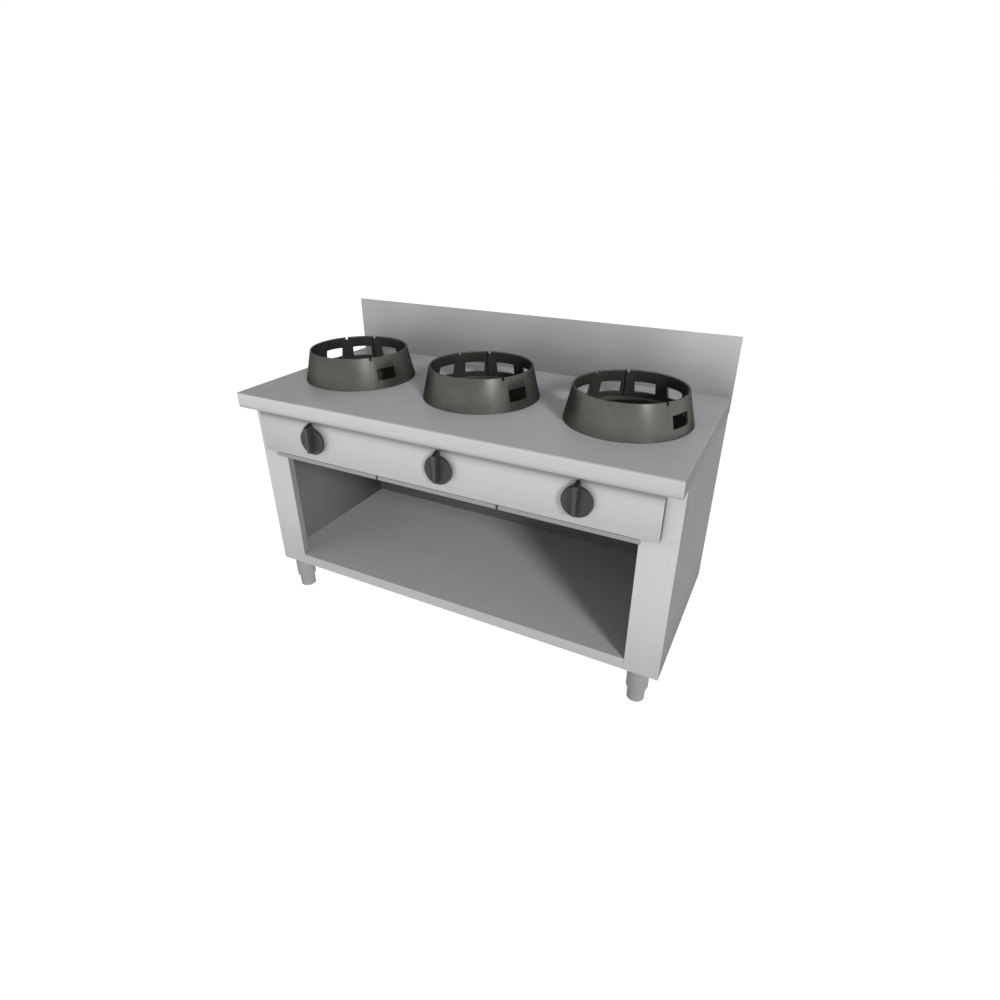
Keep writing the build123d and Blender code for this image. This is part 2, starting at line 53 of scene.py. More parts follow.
# ================================================================ materials
class Mat:
    """A small helper that builds one node material."""

    def __init__(self, name):
        self.m = bpy.data.materials.new(name)
        self.m.use_nodes = True
        self.nt = self.m.node_tree
        self.nt.nodes.clear()
        self.out = self.nt.nodes.new("ShaderNodeOutputMaterial")
        self.b = self.nt.nodes.new("ShaderNodeBsdfPrincipled")
        self.nt.links.new(self.b.outputs[0], self.out.inputs[0])
        self.co = self.nt.nodes.new("ShaderNodeTexCoord").outputs["Object"]

    def set(self, **kw):
        for k, v in kw.items():
            self.b.inputs[k.replace("_", " ")].default_value = v
        return self

    def link(self, a, b):
        self.nt.links.new(a, b)

    def mapped(self, scale, loc=(0, 0, 0), rot=(0, 0, 0)):
        n = self.nt.nodes.new("ShaderNodeMapping")
        n.inputs["Scale"].default_value = scale
        n.inputs["Location"].default_value = loc
        n.inputs["Rotation"].default_value = rot
        self.link(self.co, n.inputs[0])
        return n.outputs[0]

    def noise(self, vec, scale=1.0, detail=2.0, rough=0.5, distort=0.0):
        n = self.nt.nodes.new("ShaderNodeTexNoise")
        n.inputs["Scale"].default_value = scale
        n.inputs["Detail"].default_value = detail
        n.inputs["Roughness"].default_value = rough
        n.inputs["Distortion"].default_value = distort
        self.link(vec, n.inputs["Vector"])
        return n.outputs["Fac"]

    def voronoi(self, vec, scale, feature="F1"):
        n = self.nt.nodes.new("ShaderNodeTexVoronoi")
        n.feature = feature
        n.inputs["Scale"].default_value = scale
        self.link(vec, n.inputs["Vector"])
        return n.outputs["Distance"]

    def math(self, op, a, b=None, clamp=False):
        n = self.nt.nodes.new("ShaderNodeMath")
        n.operation = op
        n.use_clamp = clamp
        for i, v in enumerate((a, b)):
            if v is None:
                continue
            if isinstance(v, (int, float)):
                n.inputs[i].default_value = v
            else:
                self.link(v, n.inputs[i])
        return n.outputs[0]

    def remap(self, v, a, b, c, d):
        n = self.nt.nodes.new("ShaderNodeMapRange")
        n.clamp = True
        for i, x in enumerate((a, b, c, d)):
            n.inputs[i + 1].default_value = x
        self.link(v, n.inputs[0])
        return n.outputs[0]

    def ramp(self, v, stops):
        n = self.nt.nodes.new("ShaderNodeValToRGB")
        e = n.color_ramp.elements
        while len(e) < len(stops):
            e.new(0.5)
        for el, (p, c) in zip(e, stops):
            el.position = p
            el.color = (*c, 1.0) if len(c) == 3 else c
        self.link(v, n.inputs[0])
        return n.outputs[0]

    def mix(self, fac, a, b, blend="MIX"):
        n = self.nt.nodes.new("ShaderNodeMix")
        n.data_type = "RGBA"
        n.blend_type = blend
        for sock, v in ((n.inputs[0], fac), (n.inputs[6], a), (n.inputs[7], b)):
            if isinstance(v, (int, float)):
                sock.default_value = v
            elif isinstance(v, tuple):
                sock.default_value = (*v, 1.0)
            else:
                self.link(v, sock)
        return n.outputs[2]

    def axis(self, which):
        n = self.nt.nodes.new("ShaderNodeSeparateXYZ")
        self.link(self.co, n.inputs[0])
        return n.outputs["XYZ".index(which)]

    def bump(self, height, strength, distance, after=None):
        n = self.nt.nodes.new("ShaderNodeBump")
        n.inputs["Strength"].default_value = strength
        n.inputs["Distance"].default_value = distance
        self.link(height, n.inputs["Height"])
        if after is not None:
            self.link(after, n.inputs["Normal"])
        return n.outputs[0]

    def normal(self, n):
        self.link(n, self.b.inputs["Normal"])

    def color(self, c):
        self.link(c, self.b.inputs["Base Color"])

    def rough(self, r):
        self.link(r, self.b.inputs["Roughness"])


def grey(v, warm=0.0):
    return (v * (1 + warm), v, v * (1 - warm))


def iron(v):
    """The slightly olive grey of blackened iron."""
    return (v * 1.02, v, v * 0.90)


def steel(name, axis="X", tone=0.60, rough=0.36, metallic=0.85, warm=-0.017, seed=0.0, grain=1.0, dirt=0.0, tint=1.0, painted_shade_z=None,
          painted_shade_x=None, painted_shade_y=None, gloss=0.5):
    """Brushed stainless sheet. The grain runs along one axis of the object. The three optional lists
    darken the colour by position, which is painted shade, such as the shadow under an overhang and the shade near
    the floor: the first holds (height in metres, factor), the other two (place along the width or the depth in metres,
    factor)."""
    m = Mat(name).set(Metallic=metallic, Specular_Tint=(tint, tint, tint, 1.0), Specular_IOR_Level=gloss)
    along, across = 5.0, 520.0
    sc = tuple(along if a == axis else across for a in "XYZ")
    wide = tuple(1.3 if a == axis else 46.0 for a in "XYZ")
    loc = (seed, seed * 1.7, seed * 0.6)
    fine = m.noise(m.mapped(sc, loc), 1.0, 2.0, 0.6)
    streak = m.noise(m.mapped(wide, loc), 1.0, 3.0, 0.55)
    cloud = m.noise(m.mapped((1, 1, 1), loc), 2.1, 2.0, 0.5)
    smudge = m.noise(m.mapped((1, 1, 1), (seed + 3, 1, 2)), 9.0, 3.0, 0.55, 0.6)
    mixed = m.math("ADD", m.math("MULTIPLY", fine, 0.5), m.math("MULTIPLY", streak, 0.5))
    k = 0.055 * grain
    col = m.ramp(mixed, [(0.28, grey(tone * (1 - k), warm)), (0.5, grey(tone, warm)), (0.72, grey(tone * (1 + k), warm))])
    col = m.mix(m.remap(cloud, 0.35, 0.65, 0.0, 0.5), col, grey(tone * 0.95, warm))
    if dirt:
        col = m.mix(m.remap(smudge, 0.52, 0.75, 0.0, dirt), col, grey(tone * 0.72, 0.03))
    # Painted shade: the colour is multiplied by ramps over height, width and depth.
    if painted_shade_z:
        col = m.mix(1.0, col, m.ramp(m.axis("Z"), [(z, (f, f, f)) for z, f in painted_shade_z]), "MULTIPLY")
    if painted_shade_x:
        across_x = m.remap(m.axis("X"), -0.75, 0.75, 0.0, 1.0)
        col = m.mix(1.0, col, m.ramp(across_x, [((x + 0.75) / 1.5, (f, f, f)) for x, f in painted_shade_x]), "MULTIPLY")
    if painted_shade_y:
        deep = m.remap(m.axis("Y"), -0.35, 0.35, 0.0, 1.0)
        col = m.mix(1.0, col, m.ramp(deep, [((y + 0.35) / 0.7, (f, f, f)) for y, f in painted_shade_y]), "MULTIPLY")
    m.color(col)
    r = m.remap(fine, 0.3, 0.7, rough - 0.045 * grain, rough + 0.06 * grain)
    r = m.math("ADD", r, m.remap(smudge, 0.35, 0.75, -0.02, 0.05))
    m.rough(m.math("MAXIMUM", r, 0.08))
    # faint hairline scratches that cross the grain
    hair = m.noise(m.mapped(tuple(24.0 if a == axis else 700.0 for a in "XYZ"), (seed + 5, 2, 7), (0.16, 0.11, 0.21)), 1.0, 1.0, 0.5)
    hair = m.remap(hair, 0.70, 0.78, 0.0, 1.0)
    nrm = m.bump(fine, 0.10 * grain, 0.00012)
    nrm = m.bump(m.math("MULTIPLY", hair, -1.0), 0.12, 0.00010, nrm)
    nrm = m.bump(cloud, 0.10, 0.0010, nrm)
    m.normal(nrm)
    return m.m


def cast(name, dark=0.070, rough=0.42, metallic=0.35, rim=None, seed=0.0, soot=0.0, tint=1.0, gloss=0.5):
    """Cast iron with a fine sand texture. rim is the height in metres where pans wear it bright."""
    m = Mat(name).set(Metallic=metallic, Specular_Tint=(tint, tint, tint, 1.0), Specular_IOR_Level=gloss)
    loc = (seed, seed * 2.3, seed * 0.7)
    v = m.mapped((1, 1, 1), loc)
    sand = m.noise(v, 620.0, 3.0, 0.6)
    pits = m.voronoi(v, 260.0)
    blotch = m.noise(v, 16.0, 4.0, 0.6, 0.3)
    big = m.noise(v, 4.5, 2.0, 0.5)
    col = m.ramp(blotch, [(0.30, iron(dark * 0.86)), (0.52, iron(dark)), (0.74, iron(dark * 1.15))])
    col = m.mix(m.remap(sand, 0.35, 0.65, 0.0, 0.25), col, iron(dark * 1.22))
    r = m.remap(sand, 0.3, 0.7, rough - 0.05, rough + 0.07)
    r = m.math("ADD", r, m.remap(big, 0.35, 0.65, -0.03, 0.04))
    if rim is not None:
        z = m.axis("Z")
        wear = m.remap(z, rim - 0.004, rim, 0.0, 1.0)
        wear = m.math("MULTIPLY", wear, m.remap(m.noise(v, 55.0, 3.0, 0.6), 0.42, 0.62, 0.1, 0.75))
        col = m.mix(wear, col, grey(dark * 1.9, 0.02))
        r = m.math("SUBTRACT", r, m.math("MULTIPLY", wear, 0.10))
    if soot:
        col = m.mix(m.remap(m.noise(v, 22.0, 3.0, 0.6, 0.5), 0.45, 0.65, 0.0, soot), col, (0.020, 0.018, 0.017))
    m.color(col)
    m.rough(r)
    nrm = m.bump(sand, 0.16, 0.00022)
    nrm = m.bump(m.remap(pits, 0.0, 0.35, 0.0, 1.0), 0.10, 0.00018, nrm)
    nrm = m.bump(big, 0.10, 0.0012, nrm)
    m.normal(nrm)
    return m.m


def plastic(name, base=(0.025, 0.025, 0.026), rough=0.42, seed=0.0):
    """Moulded plastic with a fine spark-eroded grain."""
    m = Mat(name).set(Metallic=0.0)
    v = m.mapped((1, 1, 1), (seed, seed, seed))
    grain = m.noise(v, 1500.0, 2.0, 0.5)
    flow = m.noise(v, 30.0, 2.0, 0.5, 0.4)
    m.color(m.ramp(flow, [(0.3, tuple(c * 0.92 for c in base)), (0.7, tuple(c * 1.10 for c in base))]))
    m.rough(m.math("ADD", m.remap(grain, 0.3, 0.7, rough - 0.03, rough + 0.05), m.remap(flow, 0.3, 0.7, -0.02, 0.03)))
    m.normal(m.bump(grain, 0.08, 0.00008))
    return m.m


def metal(name, base, rough, metallic=1.0, scale=300.0, tarnish=None, amount=0.3, seed=0.0):
    """Machined or drawn metal with a little tarnish."""
    m = Mat(name).set(Metallic=metallic)
    v = m.mapped((1, 1, 1), (seed, seed, 0))
    fine = m.noise(v, scale, 3.0, 0.6)
    blot = m.noise(v, 24.0, 4.0, 0.6, 0.5)
    col = m.ramp(fine, [(0.3, tuple(c * 0.93 for c in base)), (0.7, tuple(min(1, c * 1.06) for c in base))])
    if tarnish:
        col = m.mix(m.remap(blot, 0.45, 0.72, 0.0, amount), col, tarnish)
    m.color(col)
    m.rough(m.math("ADD", m.remap(fine, 0.3, 0.7, rough - 0.04, rough + 0.06), m.remap(blot, 0.4, 0.7, 0.0, 0.08)))
    m.normal(m.bump(fine, 0.08, 0.00010))
    return m.m


def zinc(name, seed=0.0):
    """Zinc-coated sheet with a soft spangle."""
    m = Mat(name).set(Metallic=0.85)
    v = m.mapped((1, 1, 1), (seed, seed, seed))
    n = m.nt.nodes.new("ShaderNodeTexVoronoi")
    n.inputs["Scale"].default_value = 120.0
    m.link(v, n.inputs["Vector"])
    cell = m.nt.nodes.new("ShaderNodeSeparateColor")
    m.link(n.outputs["Color"], cell.inputs[0])
    dust = m.noise(v, 14.0, 4.0, 0.6)
    col = m.ramp(cell.outputs[0], [(0.0, (0.40, 0.41, 0.42)), (1.0, (0.52, 0.53, 0.54))])
    m.color(m.mix(m.remap(dust, 0.45, 0.7, 0.0, 0.35), col, (0.33, 0.33, 0.33)))
    m.rough(m.remap(cell.outputs[0], 0.0, 1.0, 0.36, 0.50))
    m.normal(m.bump(cell.outputs[0], 0.05, 0.0001))
    return m.m


# Painted shade: these lists darken sheet colours by position to stand in for shade. They darken near the floor, at the
# posts' feet and under the panel, under the worktop's overhang and above the trays, at the lower edge of the worktop's
# front lap (lightest at its top bend, a painted highlight), low on the splashback and towards its left, towards the top
# and back of the inner walls, and at the worktop's left end.
LOW_SHADE = ((0.125, 0.80), (0.175, 0.90), (0.30, 1.0), (0.90, 1.0))
POST_SHADE = ((0.125, 0.74), (0.205, 0.785), (0.265, 0.84), (0.325, 0.89), (0.42, 0.945), (0.55, 0.96), (0.590, 0.95), (0.604, 0.91),
        (0.612, 0.91), (0.622, 0.95), (0.90, 0.95))
PANEL_SHADE = ((0.604, 0.72), (0.613, 0.84), (0.640, 0.885), (0.665, 0.935), (0.705, 1.0), (0.724, 1.0), (0.738, 0.86), (0.749, 0.55), (0.90, 0.52))
LAP_SHADE_AND_LIGHT = ((0.774, 0.58), (0.782, 0.83), (0.790, 0.945), (0.805, 0.965), (0.820, 1.0))
SPLASH_SHADE = ((0.826, 0.60), (0.850, 0.68), (0.880, 0.75), (0.910, 0.83), (0.950, 0.92), (0.985, 0.98), (1.025, 1.0))
SPLASH_SHADE_X = ((-0.75, 0.60), (-0.60, 0.58), (-0.50, 0.65), (-0.42, 0.667), (0.40, 0.68), (0.48, 0.775), (0.54, 0.87), (0.60, 0.95), (0.66, 0.91), (0.75, 0.85))
INNER_SHADE = ((0.125, 0.90), (0.18, 0.97), (0.38, 1.0), (0.46, 0.90), (0.54, 0.72), (0.582, 0.50), (0.596, 0.22))
INNER_SHADE_Y = ((-0.35, 0.90), (-0.26, 1.0), (-0.05, 0.95), (0.10, 0.74), (0.24, 0.42), (0.316, 0.28), (0.321, 1.0))
TOP_SHADE_X = ((-0.75, 0.71), (-0.56, 0.73), (-0.48, 0.82), (-0.40, 0.945), (-0.30, 0.955), (0.0, 0.955), (0.08, 0.99), (0.75, 0.98))
S_TOP = steel("steel_worktop", "X", tone=0.322, rough=0.42, metallic=0.12, seed=1.0, gloss=0.25, painted_shade_x=TOP_SHADE_X)
# Painted light: a lighter copy of the worktop steel, for its front lap.
S_EDGE_LIT = steel("steel_worktop_edge", "X", tone=0.41, rough=0.40, metallic=0.40, seed=1.5, painted_shade_z=LAP_SHADE_AND_LIGHT)
S_BACK = steel("steel_splashback", "X", tone=0.53, rough=0.42, metallic=0.50, seed=2.0, painted_shade_z=SPLASH_SHADE, painted_shade_x=SPLASH_SHADE_X)
# Painted shade: the panel and the posts are darkened towards their left ends.
S_PANEL = steel("steel_panel", "X", tone=0.395, rough=0.40, metallic=0.40, seed=3.0, painted_shade_z=PANEL_SHADE,
                painted_shade_x=((-0.75, 0.88), (-0.60, 0.92), (-0.45, 1.0), (0.75, 1.0)))
S_POST = steel("steel_posts", "Z", tone=0.430, rough=0.40, metallic=0.40, seed=4.0, painted_shade_z=POST_SHADE, painted_shade_x=((-0.75, 0.95), (-0.60, 0.95), (0.60, 1.0), (0.75, 1.0)))
# Painted shade: a darker copy of the post steel for the posts' inner returns.
S_RET_SHADED = steel("steel_returns", "Z", tone=0.35, rough=0.40, metallic=0.65, seed=4.5, tint=0.25, painted_shade_z=LOW_SHADE)
S_SIDE = steel("steel_sides", "Z", tone=0.43, rough=0.40, metallic=0.92, seed=5.0, tint=0.25, painted_shade_z=LOW_SHADE)
S_SIDE_Y = steel("steel_edges_y", "Y", tone=0.37, rough=0.40, metallic=0.90, seed=5.5, tint=0.25)
S_IN = steel("steel_inner", "Z", tone=0.300, rough=0.42, metallic=0.75, seed=6.0, dirt=0.10, painted_shade_z=INNER_SHADE, painted_shade_y=INNER_SHADE_Y)
# Painted shade: the rear panel's inside takes a much darker copy of the steel than its outside below.
S_REAR_SHADED = steel("steel_rear", "X", tone=0.165, rough=0.42, metallic=0.70, seed=6.5, dirt=0.10)
S_OUT = steel("steel_rear_outside", "X", tone=0.40, rough=0.42, metallic=0.70, seed=6.7, dirt=0.10)
S_CHAN = steel("steel_channels", "Y", tone=0.34, rough=0.42, metallic=0.70, seed=6.9)
# Painted shade: the shelf is darkened towards its left end.
S_SHELF = steel("steel_shelf", "X", tone=0.375, rough=0.42, metallic=0.20, seed=7.0, dirt=0.08, gloss=0.3,
                painted_shade_x=((-0.75, 0.88), (-0.58, 0.90), (-0.40, 0.96), (-0.10, 1.0), (0.75, 1.0)))
# Painted shade: a darker copy of the shelf steel for its front lip, also darkened towards the left end.
S_LIP_SHADED = steel("steel_shelf_lip", "X", tone=0.315, rough=0.40, metallic=0.40, seed=7.5, painted_shade_x=((-0.75, 0.91), (-0.45, 0.95), (-0.20, 1.0), (0.75, 1.0)))
# Painted shade: the tray steel is toned darker to stand in for the shade under the panel's lower edge.
S_TRAY_SHADED = steel("steel_trays", "X", tone=0.23, rough=0.40, metallic=0.50, seed=8.0)
S_WELL = cast("enamel_wells", dark=0.008, rough=0.42, metallic=0.0, seed=15.0, soot=0.12, gloss=0.05)
S_LEG = steel("steel_legs", "Z", tone=0.192, rough=0.40, metallic=0.30, seed=10.0, grain=0.6, tint=0.30, gloss=0.3)
M_SEAM = cast("iron_seam", dark=0.008, rough=0.6, metallic=0.0, seed=3.0, gloss=0.05)
M_PAD = plastic("foot_pad", (0.62, 0.62, 0.60), 0.50)
M_RING = {n: cast("iron_ring_" + n, dark=(0.110, 0.110, 0.123)[i], rough=0.35, metallic=0.86, rim=0.104, seed=1.0 + i, tint=0.25) for i, n in enumerate(NAMES)}
M_CAP = cast("iron_caps", dark=0.030, rough=0.58, metallic=0.20, seed=7.0, soot=0.45, gloss=0.12)
M_BODY = cast("iron_bodies", dark=0.060, rough=0.60, metallic=0.25, seed=9.0)
M_KNOB = plastic("knob_plastic", (0.0190, 0.0185, 0.0185), 0.44)
# Painted light: a lighter plastic for the grip bar's front face.
M_GRIP_LIT = plastic("knob_grip_painted_light", (0.026, 0.0255, 0.023), 0.40, 2.0)
# Painted shade: a darker plastic for the pointer's sloping top faces.
M_TIP_SHADED = plastic("knob_tip_painted_shade", (0.009, 0.009, 0.009), 0.50, 3.0)
M_MARK = plastic("knob_mark", (0.55, 0.55, 0.54), 0.5)
M_RUBBER = plastic("spacer_rubber", (0.018, 0.018, 0.018), 0.72)
M_BRASS = metal("brass_machined", (0.70, 0.50, 0.22), 0.30, tarnish=(0.32, 0.20, 0.09), amount=0.45)
M_COPPER = metal("copper_tube", (0.72, 0.36, 0.22), 0.30, tarnish=(0.30, 0.14, 0.08), amount=0.5)
M_CHROME = metal("bright_steel", (0.62, 0.62, 0.63), 0.20, tarnish=(0.35, 0.33, 0.31), amount=0.2)
M_PIPE = metal("pipe_painted", (0.18, 0.18, 0.185), 0.45, metallic=0.2, scale=500.0, tarnish=(0.10, 0.09, 0.09), amount=0.4)
M_ZINC = zinc("zinc_sheet")


# ================================================================ mesh tools
def link(o):
    bpy.context.scene.collection.objects.link(o)
    return o


def new(name, verts, faces):
    me = bpy.data.meshes.new(name)
    me.from_pydata(verts, [], faces)
    me.update()
    return link(bpy.data.objects.new(name, me))


def shade(o, deg=32.0):
    o.data.shade_smooth()
    o.data.set_sharp_from_angle(angle=math.radians(deg))
    return o


def bake(o):
    """Applies the object's modifiers to its mesh."""
    dg = bpy.context.evaluated_depsgraph_get()
    me = bpy.data.meshes.new_from_object(o.evaluated_get(dg), depsgraph=dg)
    old = o.data
    o.modifiers.clear()
    o.data = me
    me.name = o.name
    bpy.data.meshes.remove(old)
    return o


def even(o):
    """Normals weighted by face area, so that a flat sheet stays flat beside its rounded edges."""
    w = o.modifiers.new("even", "WEIGHTED_NORMAL")
    w.mode = "FACE_AREA"
    w.weight = 100
    w.keep_sharp = True
    return bake(o)


def bevel(o, width, seg=2, deg=28.0):
    b = o.modifiers.new("bevel", "BEVEL")
    b.width = width
    b.segments = seg
    b.limit_method = "ANGLE"
    b.angle_limit = math.radians(deg)
    b.miter_outer = "MITER_ARC"
    b.use_clamp_overlap = True
    b.harden_normals = False
    return bake(o)


def outward(o):
    bm = bmesh.new()
    bm.from_mesh(o.data)
    bmesh.ops.recalc_face_normals(bm, faces=bm.faces)
    bm.to_mesh(o.data)
    bm.free()
    return o


def cut(o, cutter):
    outward(cutter)
    m = o.modifiers.new("cut", "BOOLEAN")
    m.operation = "DIFFERENCE"
    m.solver = "EXACT"
    m.use_self = True
    m.object = cutter
    bake(o)
    bpy.data.objects.remove(cutter)
    return o


def tidy(o, dist=1e-6, flat=0.4):
    """Merges doubled points and, unless flat is None, joins faces that lie in one plane."""
    bm = bmesh.new()
    bm.from_mesh(o.data)
    bmesh.ops.remove_doubles(bm, verts=bm.verts, dist=dist)
    if flat is not None:
        bmesh.ops.dissolve_limit(bm, angle_limit=math.radians(flat), verts=bm.verts, edges=bm.edges, use_dissolve_boundaries=False)
    bmesh.ops.recalc_face_normals(bm, faces=bm.faces)
    bm.to_mesh(o.data)
    bm.free()
    return o


def paint(o, mat):
    o.data.materials.clear()
    o.data.materials.append(mat)
    return o


def by_face(o, mat, test):
    """Gives another material to the faces that pass a test."""
    o.data.materials.append(mat)
    k = len(o.data.materials) - 1
    for p in o.data.polygons:
        if test(p):
            p.material_index = k
    return o


def arcs(points, seg=5):
    """Rounds a closed profile. points are (u, v, radius)."""
    out = []
    n = len(points)
    for i in range(n):
        a, b, c = (Vector(points[(i + k) % n][:2]) for k in (-1, 0, 1))
        r = points[i][2] if len(points[i]) > 2 else 0.0
        if r <= 0:
            out.append(tuple(b))
            continue
        u, v = (a - b).normalized(), (c - b).normalized()
        ang = math.acos(max(-1, min(1, u.dot(v))))
        d = min(r / math.tan(ang / 2), 0.48 * (a - b).length, 0.48 * (c - b).length)
        r = d * math.tan(ang / 2)
        centre = b + (u + v).normalized() * (r / math.sin(ang / 2))
        p0, p1 = b + u * d - centre, b + v * d - centre
        a0, a1 = math.atan2(p0.y, p0.x), math.atan2(p1.y, p1.x)
        da = (a1 - a0 + math.pi) % (2 * math.pi) - math.pi
        for k in range(seg + 1):
            t = a0 + da * k / seg
            out.append((centre.x + r * math.cos(t), centre.y + r * math.sin(t)))
    return out


def lathe(name, points, seg=96, rounding=5, up="Z"):
    """Turns a closed (radius, height) profile in millimetres. A radius of 0 lies on the axis."""
    prof = arcs(points, rounding)
    verts, faces = [], []
    for k in range(seg):
        a = 2 * math.pi * k / seg
        for r, h in prof:
            if up == "Z":
                verts.append((r * math.cos(a) * MM, r * math.sin(a) * MM, h * MM))
            else:
                verts.append((r * math.cos(a) * MM, h * MM, r * math.sin(a) * MM))
    n = len(prof)
    for k in range(seg):
        k2 = (k + 1) % seg
        for i in range(n):
            j = (i + 1) % n
            if prof[i][0] < 1e-6 and prof[j][0] < 1e-6:
                continue
            faces.append((k * n + i, k2 * n + i, k2 * n + j, k * n + j))
    o = new(name, verts, faces)
    bm = bmesh.new()
    bm.from_mesh(o.data)
    bmesh.ops.remove_doubles(bm, verts=bm.verts, dist=1e-7)
    bmesh.ops.recalc_face_normals(bm, faces=bm.faces)
    bm.to_mesh(o.data)
    bm.free()
    return o


def prism(name, outline, y0, y1, r=0.0, seg=4):
    """A prism along Y from an (x, z) outline, in millimetres, corners rounded by r."""
    pts = arcs([(x, z, r) for x, z in outline], seg) if r else list(outline)
    n = len(pts)
    verts = [(x * MM, y * MM, z * MM) for y in (y0, y1) for x, z in pts]
    faces = [tuple(range(n)), tuple(range(2 * n - 1, n - 1, -1))]
    faces += [(i, i + n, (i + 1) % n + n, (i + 1) % n) for i in range(n)]
    o = new(name, verts, faces)
    return tidy(o)


def block(name, x0, x1, y0, y1, z0, z1):
    v = [(x * MM, y * MM, z * MM) for x in (x0, x1) for y in (y0, y1) for z in (z0, z1)]
    f = [(0, 1, 3, 2), (4, 6, 7, 5), (0, 4, 5, 1), (2, 3, 7, 6), (0, 2, 6, 4), (1, 5, 7, 3)]
    return new(name, v, f)


def join(objs, name):
    verts, faces, mats, idx = [], [], [], []
    for o in objs:
        base = len(verts)
        slots = []
        for s in o.material_slots:
            if s.material not in mats:
                mats.append(s.material)
            slots.append(mats.index(s.material))
        mw = o.matrix_basis
        verts += [tuple(mw @ v.co) for v in o.data.vertices]
        for p in o.data.polygons:
            faces.append(tuple(base + i for i in p.vertices))
            idx.append(slots[p.material_index] if slots else 0)
    res = new(name, verts, faces)
    for m in mats:
        res.data.materials.append(m)
    for p, i in zip(res.data.polygons, idx):
        p.material_index = i
    for o in objs:
        bpy.data.objects.remove(o)
    return res


def put(o, x=0.0, y=0.0, z=0.0):
    """Moves the mesh itself, in millimetres, so that the object stays at the origin."""
    o.data.transform(Matrix.Translation((x * MM, y * MM, z * MM)))
    return o


def twin(o, name):
    c = bpy.data.objects.new(name, o.data.copy())
    return link(c)


def skin(node, mat, width=0.0005, seg=2, deg=28.0, flat=0.4):
    """A copy of a CAD node with rounded edges and clean shading, shown in its place."""
    src = frame["nodes"][node].data
    o = new(node + "_skin", [tuple(v.co) for v in src.vertices], [tuple(p.vertices) for p in src.polygons])
    tidy(o, 2e-6, flat)
    if width:
        bevel(o, width, seg, deg)
    shade(o, 30)
    paint(o, mat)
    if width:
        even(o)
    return use(o, node)


BODY_OF = {n: b for b, ns in frame["record"]["behaviour"]["bodies"].items() for n in ns}


def use(o, *nodes):
    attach(o, BODY_OF[nodes[0]])
    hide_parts(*nodes)
    DONE.update(nodes)
    return o


def extra(o, body, slot):
    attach(o, body)
    return o


# ================================================================ sheet metal
pieces = {}
for node, mat in (("splashback", S_BACK), ("control_panel", S_PANEL), ("bottom_shelf", S_SHELF),
                  ("side_panel_left", S_SIDE), ("side_panel_right", S_SIDE), ("front_post_left", S_POST),
                  ("front_post_right", S_POST), ("inner_wall_left", S_IN), ("inner_wall_right", S_IN),
                  ("base_channels", S_CHAN), ("drip_tray_left", S_TRAY_SHADED),
                  ("drip_tray_middle", S_TRAY_SHADED), ("drip_tray_right", S_TRAY_SHADED)):
    pieces[node] = skin(node, mat, 0.00035, 2)
# Painted shade: the inside faces keep the dark steel and the outside faces get the lighter one.
pieces["rear_panel"] = skin("rear_panel", S_REAR_SHADED, 0.0, flat=None)
by_face(pieces["rear_panel"], S_OUT, lambda p: p.normal.y > 0.2)
top = skin("worktop", S_TOP, 0.0004, 2, 50.0)
# Painted light and shade: the worktop's front lap takes a lighter copy of the worktop steel, and its ends a copy of
# another tone and grain.
by_face(top, S_EDGE_LIT, lambda p: p.normal.y < -0.9 and p.center.y < -0.34)
by_face(top, S_SIDE_Y, lambda p: abs(p.normal.x) > 0.5 and p.normal.z > -0.1)
# Painted shade: the shelf's lip and the posts' inner returns take darker copies of their steel.
by_face(pieces["bottom_shelf"], S_LIP_SHADED, lambda p: p.normal.y < -0.9)
by_face(pieces["front_post_left"], S_SIDE, lambda p: p.normal.x < -0.9)
by_face(pieces["front_post_left"], S_RET_SHADED, lambda p: p.normal.x > 0.9)
by_face(pieces["front_post_right"], S_SIDE, lambda p: p.normal.x > 0.9)
by_face(pieces["front_post_right"], S_RET_SHADED, lambda p: p.normal.x < -0.9)
by_face(pieces["control_panel"], S_SIDE, lambda p: abs(p.normal.x) > 0.9)
by_face(pieces["splashback"], S_SIDE, lambda p: abs(p.normal.x) > 0.9)

# ================================================================ wok rings
RING_K = (195.0 - 170.0) / 104.0
SLOPE = math.atan(RING_K)
SEAM = 111.5


